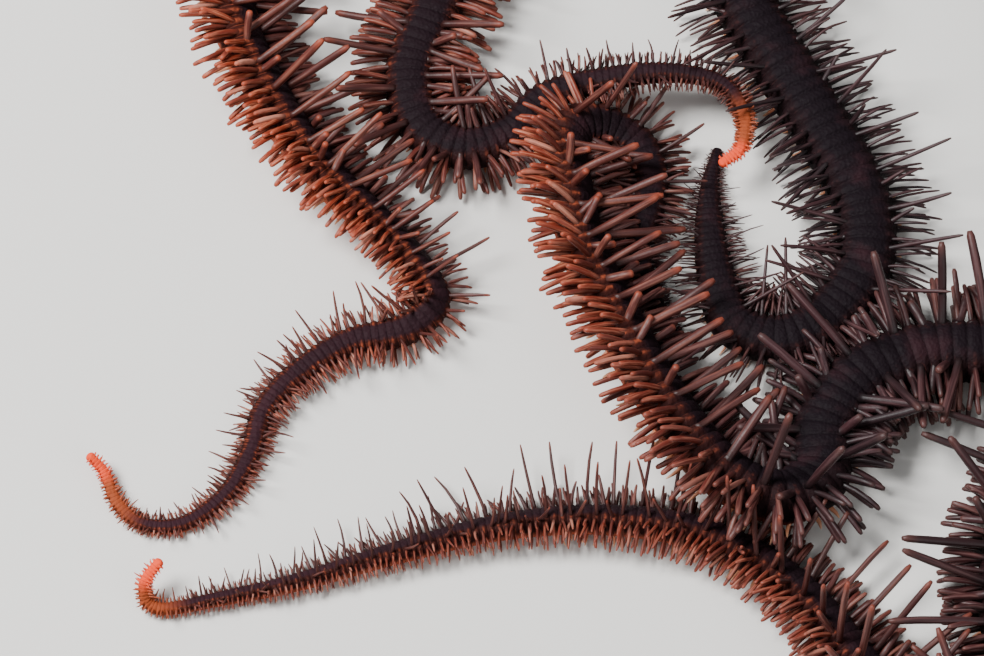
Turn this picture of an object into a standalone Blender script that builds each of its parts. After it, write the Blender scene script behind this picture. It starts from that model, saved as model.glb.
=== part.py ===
"""A brittle star at life size, lying with its five spiny arms coiled and crossing the ground.

Metres, +Z up. The origin is the middle of the mouth, on the ground. Each long, snaking arm is
parted into a few lengths.
"""
import math
import random
from collections import namedtuple

import bmesh
import bpy
import numpy as np
from mathutils import Matrix, Vector

MM = 0.001
SEED = 307
GAP = 0.3 * MM                  # between pieces that touch

DISC_RADIUS = 13.2 * MM         # to the bulge between two arms
PORT_RADIUS = 12.4 * MM         # to the flat face that an arm grows from
PORT_HALF_WIDTH = 2.9 * MM
DISC_UNDERSIDE = 1.3 * MM
MOUTH_RADIUS = 8.2 * MM

SECTION_SIDES = 8
SECTION_FLATNESS = 0.82         # an arm's height over its width
LARGEST_TURN = math.radians(20) # between two sections of an arm
LARGEST_STEP = 3.4 * MM
COURSE_SAMPLES = 10             # between two points of a course

SPINE_MIN = 0.5 * MM            # thickness at the root
SHORTEST_SPINE = 0.6 * MM
FLOOR_CLEARANCE = 0.35 * MM

# In millimetres: the width of an arm, and there the length and thickness of a spine of the upper
# row and of the lower row.
SPINE_SIZES = (
    (0.8, 0.5, 0.14, 0.4, 0.12), (1.3, 0.9, 0.18, 0.75, 0.15), (2.0, 2.0, 0.24, 1.5, 0.2),
    (3.2, 4.2, 0.34, 2.6, 0.3), (3.8, 5.8, 0.56, 3.2, 0.42), (4.4, 6.7, 0.66, 3.8, 0.48),
    (5.3, 7.4, 0.72, 4.2, 0.52))
# Each row of spines. The root and the spine are turned away from the back of the arm by these
# angles. Where the arm lies on its side, the spine has one angle on the flank turned up (over)
# and one on the flank turned down (under). Sizes is the row's first column in SPINE_SIZES, and
# the shift along the arm is over the spacing.
SpineRow = namedtuple("SpineRow", "root flat over under sizes facets shift")
SPINE_ROWS = (
    SpineRow(root=42, flat=50, over=-14, under=22, sizes=1, facets=4, shift=0.0),
    SpineRow(root=90, flat=96, over=134, under=44, sizes=3, facets=3, shift=0.5),
)
FULL_ROLL = math.radians(58)
SPACING_PER_WIDTH = 0.58
LEAST_SPACING = 1.0 * MM

# Each arm: bearing from the disc, widths in even steps from its root to its tip, number of
# lengths, and its course as (x, y, lift above the ground, roll in degrees), in millimetres.
ARMS = {
    "arm_4": (287, (5.3, 5.3, 5.3, 5.3, 5.3, 5.2, 5.1, 4.8, 4.2, 2.9, 0.8), 6, (
        (6.0, -22, 0, 0), (6.5, -32, 0, 0), (5, -42, 0, 0), (1.5, -49, 0, 0),
        (-4.5, -53, 0, 0), (-11, -53.5, 0, 0), (-16.5, -55.8, 0, 0), (-19.8, -60.5, 0, 5),
        (-20.4, -65, 0.3, 15), (-23, -67.2, 0.8, 35), (-26.4, -66.6, 1.3, 48),
        (-29.6, -64, 1.7, 55), (-33.8, -57.6, 2, 58), (-36.2, -52.6, 2, 58),
        (-38.2, -48.2, 2, 58), (-39.7, -43.6, 2, 58), (-40.5, -39, 2, 56),
        (-40.9, -35.3, 2, 50), (-40, -32.7, 1.5, 35), (-37.5, -31.9, 0.6, 10),
        (-34.9, -33.2, 0, 0), (-33.7, -36, 0, 0), (-33.9, -39.2, 0, 0),
        (-34.6, -42.6, 0, 0), (-34.1, -46.4, 0, 0), (-32.6, -49.6, 0, 0),
        (-31, -52.4, 0, 0))),
    "arm_1": (71, (5.2, 5.2, 5.2, 5.1, 5.0, 4.8, 4.5, 3.9, 2.6, 1.7, 0.8), 6, (
        (3.6, 20.6, 0, 0), (-3, 24, 0, 0), (-14, 23.3, 0, 0), (-30, 16, 0, 0),
        (-48, 6.5, 0, 0), (-61, -3, 0.4, -20), (-68, -12, 1, -45), (-69.2, -21, 1.4, -56),
        (-65.9, -29.5, 1.4, -56), (-63.4, -33.8, 1.4, -56), (-60.3, -38, 1.4, -56),
        (-56.4, -42, 1.3, -55), (-53.2, -45.8, 1, -48), (-51.9, -48.6, 0.6, -30),
        (-54.1, -50.8, 0.2, -10), (-58.8, -51.9, 0, 0), (-63, -54.7, 0, 0),
        (-65.9, -58.3, 0, 0), (-66.8, -62, 0, 0), (-68.8, -65.8, 0, 0),
        (-72.2, -68.4, 0, 0), (-75.5, -68.4, 0, 0), (-77.6, -66.6, 0.2, 0),
        (-78.8, -64, 0.9, 0), (-79.9, -63, 1.7, 0))),
    "arm_5": (-1, (5.2, 5.2, 5.1, 5.0, 4.8, 4.5, 4.0, 3.5, 2.7, 1.8, 0.8), 7, (
        (19.6, -3, 0, 0), (22, -10, 0, 0), (21.5, -22, 0, 0), (19, -36, 0, 0),
        (14.5, -48, 0, 0), (7, -57.5, 0, 0), (-0.5, -63.5, 0, 0), (-4.6, -70, 0, 0),
        (-5.5, -77, 0, 0), (-4.8, -83, 0, 0), (-6.5, -88, 0, 0), (-10.8, -89.6, 0, 5),
        (-14.4, -86.6, 0, 15), (-17.5, -81.4, 0, 25), (-23, -74.2, 0, 35),
        (-29.7, -69.9, 0, 38), (-38, -68.4, 0, 38), (-46.3, -69, 0, 36),
        (-54.7, -71.2, 0, 32), (-63, -73.8, 0, 28), (-69.7, -75.3, 0, 20),
        (-73.4, -76, 0, 10), (-74.9, -75.6, 0.4, 0), (-75.1, -74.5, 1.8, 0),
        (-73.9, -73.2, 3, 0))),
    "arm_2": (143, (4.9, 4.9, 4.8, 4.8, 4.7, 4.6, 4.3, 3.7, 2.4, 1.6, 0.8), 5, (
        (-19.5, 10.6, 0, 0), (-30, 5, 0, 0), (-42, -4, 0, 0), (-49.5, -12.5, 0, 0),
        (-52, -20.5, 0, 0), (-54, -26.5, 0, 0), (-52.8, -31.8, 0, 0), (-49.4, -33.6, 0, 0),
        (-45.6, -32.4, 0.3, 0), (-42.4, -29.2, 1.4, 0), (-36.3, -28, 3, 0),
        (-31.3, -27.9, 3.6, 0), (-27.4, -29.1, 3.8, 0), (-25.8, -32, 3.9, 0),
        (-26.1, -35.2, 3.9, 0), (-27.7, -36.6, 3.9, 0))),
    "arm_3": (215, (5.3, 5.3, 5.3, 5.3, 5.2, 5.1, 4.9, 4.4, 3.7, 2.6, 0.8), 5, (
        (-18, -10.4, 0, 0), (-23.6, -12.6, 0, 0), (-25.8, -16.4, 0, 0),
        (-24.8, -21, 0, 0), (-19.9, -30.4, 0, 0), (-16, -39, 0, 0), (-15.9, -45, 0, 0),
        (-18.9, -49.8, 0, 0), (-23, -52, 0, 0), (-26.8, -50.6, 0, 0),
        (-28.2, -46.3, 0, 0), (-28.7, -41.5, 0, 0), (-28.6, -36.8, 0, 0),
        (-27.9, -33.2, 0, 0))),
}

DARK = (0.045, 0.018, 0.022)
TAN = (0.33, 0.11, 0.07)


def material(name, colour, roughness):
    """A plain matt material for one sub-part."""
    made = bpy.data.materials.new(name)
    made.use_nodes = True
    shader = made.node_tree.nodes["Principled BSDF"]
    shader.inputs["Base Color"].default_value = (*colour, 1)
    shader.inputs["Roughness"].default_value = roughness
    shader.inputs["Metallic"].default_value = 0
    return made


def new_object(name, mesh_builder, collection, made_of=None):
    """Wrap a bmesh in an object, with its faces turned outward."""
    bmesh.ops.recalc_face_normals(mesh_builder, faces=mesh_builder.faces)
    mesh = bpy.data.meshes.new(name)
    mesh_builder.to_mesh(mesh)
    mesh_builder.free()
    made = bpy.data.objects.new(name, mesh)
    if made_of:
        mesh.materials.append(made_of)
    collection.objects.link(made)
    return made


def bridge(builder, rings):
    """Skin a row of closed rings of points and cap both ends."""
    loops = [[builder.verts.new(point) for point in ring] for ring in rings]
    for near, far in zip(loops, loops[1:]):
        for i in range(len(near)):
            j = (i + 1) % len(near)
            builder.faces.new((near[i], near[j], far[j], far[i]))
    builder.faces.new(loops[0])
    builder.faces.new(loops[-1])


class Arm:
    """One arm: its course, its width and its frame at any length from the disc."""

    def __init__(self, name, bearing, widths, lengths, course):
        self.name = name
        self.widths = np.array(widths) * MM
        self.lengths = lengths
        out = Vector((math.cos(math.radians(bearing)), math.sin(math.radians(bearing)), 0))
        start = [(*(out * reach).xy, 0.0, 0.0) for reach in (PORT_RADIUS + GAP, PORT_RADIUS + 3 * MM)]
        points = start + [(x * MM, y * MM, lift * MM, math.radians(roll)) for x, y, lift, roll in course]
        self.samples = self.smooth([np.array(point) for point in points])
        steps = np.linalg.norm(np.diff(self.samples[:, :3], axis=0), axis=1)
        self.reach = np.concatenate(([0.0], np.cumsum(steps)))
        self.length = float(self.reach[-1])

    @staticmethod
    def smooth(points):
        """Sample a cubic through the points, with slopes from each point's neighbours."""
        points = [2 * points[0] - points[1]] + points + [2 * points[-1] - points[-2]]
        chords = [float(np.linalg.norm((b - a)[:2])) for a, b in zip(points, points[1:])]
        sampled = []
        for i in range(1, len(points) - 2):
            before, here, after, beyond = points[i - 1:i + 3]
            back, span, front = chords[i - 1:i + 2]
            leave = span * (after - before) / (back + span)
            arrive = span * (beyond - here) / (span + front)
            for t in np.linspace(0, 1, COURSE_SAMPLES, endpoint=False):
                sampled.append(
                    (2 * t**3 - 3 * t**2 + 1) * here + (t**3 - 2 * t**2 + t) * leave
                    + (3 * t**2 - 2 * t**3) * after + (t**3 - t**2) * arrive)
        sampled.append(points[-2])
        return np.array(sampled)

    def width(self, s):
        steps = np.linspace(0, self.length, len(self.widths))
        return float(np.interp(s, steps, self.widths))

    def half_height(self, s, roll):
        """How far the rolled section reaches above and below its middle."""
        wide = self.width(s) / 2
        high = wide * SECTION_FLATNESS
        return math.hypot(wide * math.sin(roll), high * math.cos(roll))

    def middle(self, s):
        x, y, lift, roll = (float(np.interp(s, self.reach, self.samples[:, k])) for k in range(4))
        return Vector((x, y, max(lift, 0) + self.half_height(s, roll) * 0.99)), roll

    def frame(self, s):
        """The middle of the arm there, with its unit vectors along, aside and to its back."""
        step = 0.4 * MM
        low = max(s - step, 0)
        high = min(s + step, self.length)
        along = (self.middle(high)[0] - self.middle(low)[0]).normalized()
        middle, roll = self.middle(s)
        if s < 2 * step:
            along.z = 0
            along.normalize()
        level = along.cross(Vector((0, 0, 1))).normalized()
        upright = level.cross(along)
        back = upright * math.cos(roll) + level * math.sin(roll)
        aside = level * math.cos(roll) - upright * math.sin(roll)
        return middle, along, aside, back

    def ring(self, s, shift=0.0):
        """The eight-sided section, flat underneath, and flattened where it meets the ground."""
        middle, along, aside, back = self.frame(s)
        wide = self.width(s) / 2
        high = wide * SECTION_FLATNESS
        grow = 1 / math.cos(math.pi / SECTION_SIDES)
        points = []
        for k in range(SECTION_SIDES):
            angle = (k + 0.5) * 2 * math.pi / SECTION_SIDES
            point = middle + along * shift
            point += (aside * math.cos(angle) * wide + back * math.sin(angle) * high) * grow
            point.z = max(point.z, 0.0)
            points.append(point)
        return points

    def stations(self, start, end):
        """Places of the sections between two ends, closer together where the arm bends."""
        places = [start]
        heading = self.frame(start)[1]
        s = start
        while s < end:
            s += 0.25 * MM
            turned = self.frame(min(s, end))[1].angle(heading)
            if turned > LARGEST_TURN or s - places[-1] > LARGEST_STEP:
                places.append(s)
                heading = self.frame(min(s, end))[1]
        while len(places) > 1 and end - places[-1] < 0.7 * MM:
            places.pop()
        return places + [end]

    def bounds(self):
        """The lengths' ends: nearly even, and shorter towards the tip."""
        shares = [(i / self.lengths) ** 0.92 for i in range(self.lengths + 1)]
        return [share * self.length for share in shares]


class Spines:
    """All spines placed so far, so that the next one can be kept clear of them."""

    def __init__(self, arms):
        self.draw = random.Random(SEED)
        self.starts = np.empty((0, 3))
        self.ends = np.empty((0, 3))
        self.radii = np.empty(0)
        self.bodies = []
        for arm in arms:
            for s in np.arange(0, arm.length, 0.6 * MM):
                middle, _ = arm.middle(s)
                self.bodies.append((*middle, arm.width(s) / 2, s, id(arm)))
        self.bodies = np.array(self.bodies, dtype=float)

    def free(self, arm, s, root, tip, radius):
        """Whether a spine keeps clear of every arm and of every other spine."""
        line = np.linspace(np.array(root), np.array(tip), 14)
        far = (self.bodies[:, 5] != id(arm)) | (np.abs(self.bodies[:, 4] - s) > 1.3 * arm.width(s))
        others = self.bodies[far]
        reach = np.linalg.norm(line[4:, None] - others[None, :, :3], axis=2)
        if (reach < others[None, :, 3] + radius + GAP).any():
            return False
        if Vector(tip).length < DISC_RADIUS + GAP or not len(self.starts):
            return Vector(tip).length > DISC_RADIUS + GAP
        span = self.ends - self.starts
        along = np.einsum("ijk,jk->ij", line[:, None] - self.starts[None], span)
        share = np.clip(along / np.einsum("jk,jk->j", span, span), 0, 1)
        nearest = self.starts[None] + share[:, :, None] * span[None]
        apart = np.linalg.norm(line[:, None] - nearest, axis=2)
        return not (apart < self.radii[None] + radius + GAP).any()

    def place(self, arm, s, sign, row):
        """Choose one spine's root and tip, shortened until it is clear, or nothing."""
        middle, along, aside, back = arm.frame(s)
        width = arm.width(s)
        roll = arm.middle(s)[1]
        rolled = min(abs(math.sin(roll)) / math.sin(FULL_ROLL), 1.0)
        turned = row.over if sign * roll < 0 else row.under
        tilt = math.radians(row.flat + (turned - row.flat) * rolled + self.draw.uniform(-7, 7))
        lean = along * self.draw.uniform(-0.05, 0.22)
        direction = (back * math.cos(tilt) + aside * sign * math.sin(tilt) + lean).normalized()
        around = math.radians(row.root)
        high = width / 2 * SECTION_FLATNESS
        skin = aside * sign * math.sin(around) * width / 2 + back * math.cos(around) * high
        root = middle + skin * 0.55
        sizes = np.array(SPINE_SIZES) * MM
        full = float(np.interp(width, sizes[:, 0], sizes[:, row.sizes])) * self.draw.uniform(0.88, 1.1)
        radius = max(float(np.interp(width, sizes[:, 0], sizes[:, row.sizes + 1])), SPINE_MIN) / 2
        for share in (1, 0.85, 0.7, 0.55, 0.42):
            length = full * share + skin.length * 0.45
            tip = root + direction * length
            floor = radius + FLOOR_CLEARANCE
            if tip.z < floor:
                drop = (floor - root.z) / length
                level = Vector((direction.x, direction.y, 0)).normalized()
                flat = math.sqrt(max(1 - drop * drop, 0))
                tip = root + (level * flat + Vector((0, 0, drop))) * length
            if full * share > SHORTEST_SPINE and self.free(arm, s, root, tip, radius):
                self.starts = np.vstack((self.starts, root))
                self.ends = np.vstack((self.ends, tip))
                self.radii = np.append(self.radii, radius)
                return root, tip, radius
        return None


def spine(root, tip, radius, facets, collection):
    """A blunt, slightly tapering spine."""
    axis = tip - root
    turn = axis.to_track_quat("Z", "Y").to_matrix().to_4x4()
    builder = bmesh.new()
    bmesh.ops.create_cone(
        builder, cap_ends=True, cap_tris=False, segments=facets, radius1=radius * 1.1,
        radius2=radius * 0.62, depth=axis.length, matrix=Matrix.Translation((root + tip) / 2) @ turn)
    return new_object("spine", builder, collection)


def keep_largest(mesh):
    """Keep only the largest closed surface of a mesh."""
    builder = bmesh.new()
    builder.from_mesh(mesh)
    unseen = set(builder.faces)
    shells = []
    while unseen:
        stack = [unseen.pop()]
        shell = []
        while stack:
            face = stack.pop()
            shell.append(face)
            for edge in face.edges:
                for other in edge.link_faces:
                    if other in unseen:
                        unseen.remove(other)
                        stack.append(other)
        shells.append(shell)
    shells.sort(key=lambda shell: sum(face.calc_area() for face in shell))
    for shell in shells[:-1]:
        bmesh.ops.delete(builder, geom=shell, context="FACES")
    bmesh.ops.triangulate(builder, faces=builder.faces)
    builder.to_mesh(mesh)
    builder.free()


def fuse(body, pieces):
    """Join a node's body and everything rooted in it into one closed solid."""
    joint = body.modifiers.new("Fuse", "BOOLEAN")
    joint.operation = "UNION"
    joint.operand_type = "COLLECTION"
    joint.collection = pieces
    joint.solver = "MANIFOLD"
    graph = bpy.context.evaluated_depsgraph_get()
    fused = bpy.data.meshes.new_from_object(body.evaluated_get(graph))
    body.modifiers.clear()
    body.data = fused
    keep_largest(fused)
    for piece in list(pieces.objects):
        bpy.data.objects.remove(piece)
    bpy.data.collections.remove(pieces)


def arm_lengths(arm, spines, scene, made_of):
    """Build one arm's lengths, each with the spines that grow from it."""
    ends = arm.bounds()
    for number, (start, end) in enumerate(zip(ends, ends[1:]), 1):
        first = 0.0 if number == 1 else GAP / 2
        last = 0.0 if number == arm.lengths else GAP / 2
        places = arm.stations(start, end)
        rings = [arm.ring(place) for place in places]
        rings[0] = arm.ring(start, first)
        rings[-1] = arm.ring(end, -last)
        builder = bmesh.new()
        bridge(builder, rings)
        body = new_object(f"{arm.name}_length_{number}", builder, scene, made_of)
        pieces = bpy.data.collections.new("pieces")
        scene.children.link(pieces)
        for row in SPINE_ROWS:
            s = start
            while True:
                spacing = arm.width(s) * SPACING_PER_WIDTH + LEAST_SPACING
                place = s + spacing * (0.4 + row.shift)
                if place > end - 0.9 * MM:
                    break
                if place > start + 0.9 * MM:
                    for sign in (-1, 1):
                        chosen = spines.place(arm, place, sign, row)
                        if chosen:
                            spine(*chosen, row.facets, pieces)
                s += spacing
        fuse(body, pieces)


def disc_outline(radius):
    """Five flat faces for the arms, with a rounded bulge between each two."""
    bearings = sorted(math.radians(arm[0]) % (2 * math.pi) for arm in ARMS.values())
    half = math.asin(PORT_HALF_WIDTH / PORT_RADIUS)
    points = []
    for here, after in zip(bearings, bearings[1:] + [bearings[0] + 2 * math.pi]):
        for side in (-half, half):
            reach = PORT_RADIUS / math.cos(half)
            points.append((here + side, reach * radius))
        for k in range(1, 7):
            angle = here + half + (after - here - 2 * half) * k / 7
            bulge = math.sin(math.pi * k / 7) ** 0.5
            reach = PORT_RADIUS / math.cos(half)
            points.append((angle, (reach + (DISC_RADIUS - reach) * bulge) * radius))
    return [Vector((math.cos(angle) * reach, math.sin(angle) * reach)) for angle, reach in points]


def disc(scene, made_of):
    """The low, domed body that the arms grow from."""
    profile = ((1, 1.3), (1, 4.7), (0.94, 5.5), (0.78, 6.2), (0.52, 6.7), (0.24, 6.9))
    rings = [[Vector((*point, z * MM)) for point in disc_outline(scale)] for scale, z in profile]
    builder = bmesh.new()
    bridge(builder, rings)
    return new_object("disc", builder, scene, made_of)


def mouth(scene, made_of):
    """Five jaws under the disc, parted by slits that lead out along the arms."""
    top = DISC_UNDERSIDE - GAP
    bearings = [math.radians(arm[0]) for arm in ARMS.values()]
    rings = []
    for scale, z in ((0.86, 0.0), (1.0, 0.35 * MM), (1.0, top)):
        ring = []
        for k in range(30):
            angle = bearings[0] + k * math.tau / 30
            lobe = 1 + 0.06 * math.cos(5 * (angle - bearings[0]))
            ring.append(Vector((math.cos(angle), math.sin(angle), 0)) * MOUTH_RADIUS * scale * lobe)
            ring[-1].z = z
        rings.append(ring)
    builder = bmesh.new()
    bridge(builder, rings)
    jaws = new_object("mouth", builder, scene, made_of)
    slits = bpy.data.collections.new("slits")
    scene.children.link(slits)
    for bearing in bearings:
        builder = bmesh.new()
        size = Matrix.Diagonal((4.4 * MM, 0.6 * MM, 1.2 * MM, 1))
        place = Matrix.Rotation(bearing, 4, "Z") @ Matrix.Translation((3.3 * MM, 0, 0))
        bmesh.ops.create_cube(builder, size=1, matrix=place @ size)
        new_object("slit", builder, slits)
    cut = jaws.modifiers.new("Slits", "BOOLEAN")
    cut.operation = "DIFFERENCE"
    cut.operand_type = "COLLECTION"
    cut.collection = slits
    cut.solver = "EXACT"
    graph = bpy.context.evaluated_depsgraph_get()
    cut_mesh = bpy.data.meshes.new_from_object(jaws.evaluated_get(graph))
    jaws.modifiers.clear()
    jaws.data = cut_mesh
    for slit in list(slits.objects):
        bpy.data.objects.remove(slit)
    bpy.data.collections.remove(slits)
    return jaws


def main():
    for old in list(bpy.data.objects):
        bpy.data.objects.remove(old, do_unlink=True)
    scene = bpy.context.scene.collection
    arms = [Arm(name, *values) for name, values in ARMS.items()]
    disc(scene, material("disc_skin", DARK, 0.6))
    mouth(scene, material("mouth_plates", TAN, 0.55))
    spines = Spines(arms)
    for arm in arms:
        arm_lengths(arm, spines, scene, material(f"{arm.name}_skin", DARK, 0.55))


main()
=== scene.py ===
"""A brittle star at life size, its arms snaking over the ground: the finish of every surface."""
import math

import bpy
import numpy as np
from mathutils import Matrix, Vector


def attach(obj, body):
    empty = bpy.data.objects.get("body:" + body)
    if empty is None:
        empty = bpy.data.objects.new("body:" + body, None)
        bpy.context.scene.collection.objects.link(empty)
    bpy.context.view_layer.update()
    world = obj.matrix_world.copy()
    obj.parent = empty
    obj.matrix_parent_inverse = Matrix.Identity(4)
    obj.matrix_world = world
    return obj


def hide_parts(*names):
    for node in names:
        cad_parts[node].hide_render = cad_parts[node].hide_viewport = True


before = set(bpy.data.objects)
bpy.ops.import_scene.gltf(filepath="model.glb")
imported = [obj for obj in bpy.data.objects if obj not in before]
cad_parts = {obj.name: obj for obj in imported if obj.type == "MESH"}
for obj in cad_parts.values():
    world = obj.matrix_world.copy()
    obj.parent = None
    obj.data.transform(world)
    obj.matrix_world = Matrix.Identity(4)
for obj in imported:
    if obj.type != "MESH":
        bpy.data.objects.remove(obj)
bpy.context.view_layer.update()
bpy.ops.object.select_all(action="DESELECT")

# The skin: thin, leathery and drawn over limestone plates, in one piece from the round disc out
# to the tips of five limber arms. The disc is drawn up from a plate and the arms' tubes, ringed
# by a groove at each joint of the chain inside them, are melted into it.
MM = 0.001
# An arm starts at the ports, which lie on this radius, a narrow gap off the disc's solid, and
# runs straight at first.
PORT_RADIUS = 12.4 * MM
PIECE_GAP = 0.3 * MM
STRAIGHT_START = 3 * MM
# Its height as a share of its width, and how high its middle lies as a share of half its height.
FLATNESS = 0.82
PRESSED = 0.99
# The glow of a tip begins this far from its end. An arm starts to count as lean below the first
# of these widths, and is fully lean where it is thinner still by the second.
GLOW_REACH = 8 * MM
LEAN_BELOW = 3.6 * MM
LEAN_SPAN = 2.4 * MM
# A segment's length: a share of the arm's width, and a little more. The last one is no shorter
# than this.
SEGMENT_SHARE = 0.2
SEGMENT_MORE = 0.13 * MM
LAST_SEGMENT = 0.25 * MM
# Each arm: its bearing from the disc, then in even steps out to its tip its widths in mm and how
# warm its skin is, from dull and dark (0) to fresh red-brown (1): partly the skin's own colour and
# partly painted shade where the arm lies in low light. Then how much its tip glows orange, and its
# course, that of the solids, as x, y, lift in mm and roll in degrees.
ARMS = {
    "arm_4": (287, (5.3, 5.3, 5.3, 5.3, 5.3, 5.2, 5.1, 4.8, 4.2, 2.9, 0.8),
              (0.1, 0.1, 0.05, 0.05, 0.1, 0.1, 0.0, 0.0, 0.4, 0.65, 0.75, 0.8, 0.3, 0.1, 0.0),
              0.0, (
        (6.0, -22, 0, 0), (6.5, -32, 0, 0), (5, -42, 0, 0), (1.5, -49, 0, 0),
        (-4.5, -53, 0, 0), (-11, -53.5, 0, 0), (-16.5, -55.8, 0, 0), (-19.8, -60.5, 0, 5),
        (-20.4, -65, 0.3, 15), (-23, -67.2, 0.8, 35), (-26.4, -66.6, 1.3, 48),
        (-29.6, -64, 1.7, 55), (-33.8, -57.6, 2, 58), (-36.2, -52.6, 2, 58),
        (-38.2, -48.2, 2, 58), (-39.7, -43.6, 2, 58), (-40.5, -39, 2, 56),
        (-40.9, -35.3, 2, 50), (-40, -32.7, 1.5, 35), (-37.5, -31.9, 0.6, 10),
        (-34.9, -33.2, 0, 0), (-33.7, -36, 0, 0), (-33.9, -39.2, 0, 0),
        (-34.6, -42.6, 0, 0), (-34.1, -46.4, 0, 0), (-32.6, -49.6, 0, 0),
        (-31, -52.4, 0, 0))),
    "arm_1": (71, (5.2, 5.2, 5.2, 5.1, 5.0, 4.8, 4.5, 3.9, 2.6, 1.7, 0.8),
              (0.2, 0.3, 0.5, 0.9, 1.0, 0.9, 0.6, 0.8), 1.0, (
        (3.6, 20.6, 0, 0), (-3, 24, 0, 0), (-14, 23.3, 0, 0), (-30, 16, 0, 0),
        (-48, 6.5, 0, 0), (-61, -3, 0.4, -20), (-68, -12, 1, -45), (-69.2, -21, 1.4, -56),
        (-65.9, -29.5, 1.4, -56), (-63.4, -33.8, 1.4, -56), (-60.3, -38, 1.4, -56),
        (-56.4, -42, 1.3, -55), (-53.2, -45.8, 1, -48), (-51.9, -48.6, 0.6, -30),
        (-54.1, -50.8, 0.2, -10), (-58.8, -51.9, 0, 0), (-63, -54.7, 0, 0),
        (-65.9, -58.3, 0, 0), (-66.8, -62, 0, 0), (-68.8, -65.8, 0, 0),
        (-72.2, -68.4, 0, 0), (-75.5, -68.4, 0, 0), (-77.6, -66.6, 0.2, 0),
        (-78.8, -64, 0.9, 0), (-79.9, -63, 1.7, 0))),
    "arm_5": (-1, (5.2, 5.2, 5.1, 5.0, 4.8, 4.5, 4.0, 3.5, 2.7, 1.8, 0.8),
              (0.1, 0.1, 0.1, 0.1, 0.1, 0.1, 0.05, 0.1, 0.3, 0.5, 0.55, 0.55, 0.55, 0.6, 0.7),
              1.0, (
        (19.6, -3, 0, 0), (22, -10, 0, 0), (21.5, -22, 0, 0), (19, -36, 0, 0),
        (14.5, -48, 0, 0), (7, -57.5, 0, 0), (-0.5, -63.5, 0, 0), (-4.6, -70, 0, 0),
        (-5.5, -77, 0, 0), (-4.8, -83, 0, 0), (-6.5, -88, 0, 0), (-10.8, -89.6, 0, 5),
        (-14.4, -86.6, 0, 15), (-17.5, -81.4, 0, 25), (-23, -74.2, 0, 35),
        (-29.7, -69.9, 0, 38), (-38, -68.4, 0, 38), (-46.3, -69, 0, 36),
        (-54.7, -71.2, 0, 32), (-63, -73.8, 0, 28), (-69.7, -75.3, 0, 20),
        (-73.4, -76, 0, 10), (-74.9, -75.6, 0.4, 0), (-75.1, -74.5, 1.8, 0),
        (-73.9, -73.2, 3, 0))),
    "arm_2": (143, (4.9, 4.9, 4.8, 4.8, 4.7, 4.6, 4.3, 3.7, 2.4, 1.6, 0.8),
              (0.1, 0.15, 0.3, 0.45, 0.45, 0.25, 0.25, 0.5), 1.0, (
        (-19.5, 10.6, 0, 0), (-30, 5, 0, 0), (-42, -4, 0, 0), (-49.5, -12.5, 0, 0),
        (-52, -20.5, 0, 0), (-54, -26.5, 0, 0), (-52.8, -31.8, 0, 0), (-49.4, -33.6, 0, 0),
        (-45.6, -32.4, 0.3, 0), (-42.4, -29.2, 1.4, 0), (-36.3, -28, 3, 0),
        (-31.3, -27.9, 3.6, 0), (-27.4, -29.1, 3.8, 0), (-25.8, -32, 3.9, 0),
        (-26.1, -35.2, 3.9, 0), (-27.7, -36.6, 3.9, 0))),
    "arm_3": (215, (5.3, 5.3, 5.3, 5.3, 5.2, 5.1, 4.9, 4.4, 3.7, 2.6, 0.8),
              (0.05, 0.05, 0.05, 0.0, 0.0, 0.05, 0.1, 0.1), 0.0, (
        (-18, -10.4, 0, 0), (-23.6, -12.6, 0, 0), (-25.8, -16.4, 0, 0),
        (-24.8, -21, 0, 0), (-19.9, -30.4, 0, 0), (-16, -39, 0, 0), (-15.9, -45, 0, 0),
        (-18.9, -49.8, 0, 0), (-23, -52, 0, 0), (-26.8, -50.6, 0, 0),
        (-28.2, -46.3, 0, 0), (-28.7, -41.5, 0, 0), (-28.6, -36.8, 0, 0),
        (-27.9, -33.2, 0, 0))),
}


def unit(vectors):
    """Scale rows of vectors to length 1."""
    return vectors / np.linalg.norm(vectors, axis=-1, keepdims=True)


def cubic_through(points, samples=10):
    """Sample a cubic through the points, with slopes from each point's neighbours."""
    points = [2 * points[0] - points[1]] + points + [2 * points[-1] - points[-2]]
    chords = [float(np.linalg.norm((b - a)[:2])) for a, b in zip(points, points[1:])]
    sampled = []
    for i in range(1, len(points) - 2):
        before, here, after, beyond = points[i - 1:i + 3]
        back, span, front = chords[i - 1:i + 2]
        leave = span * (after - before) / (back + span)
        arrive = span * (beyond - here) / (span + front)
        for t in np.linspace(0, 1, samples, endpoint=False):
            sampled.append(
                (2 * t**3 - 3 * t**2 + 1) * here + (t**3 - 2 * t**2 + t) * leave
                + (3 * t**2 - 2 * t**3) * after + (t**3 - t**2) * arrive)
    sampled.append(points[-2])
    return np.array(sampled)


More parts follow.
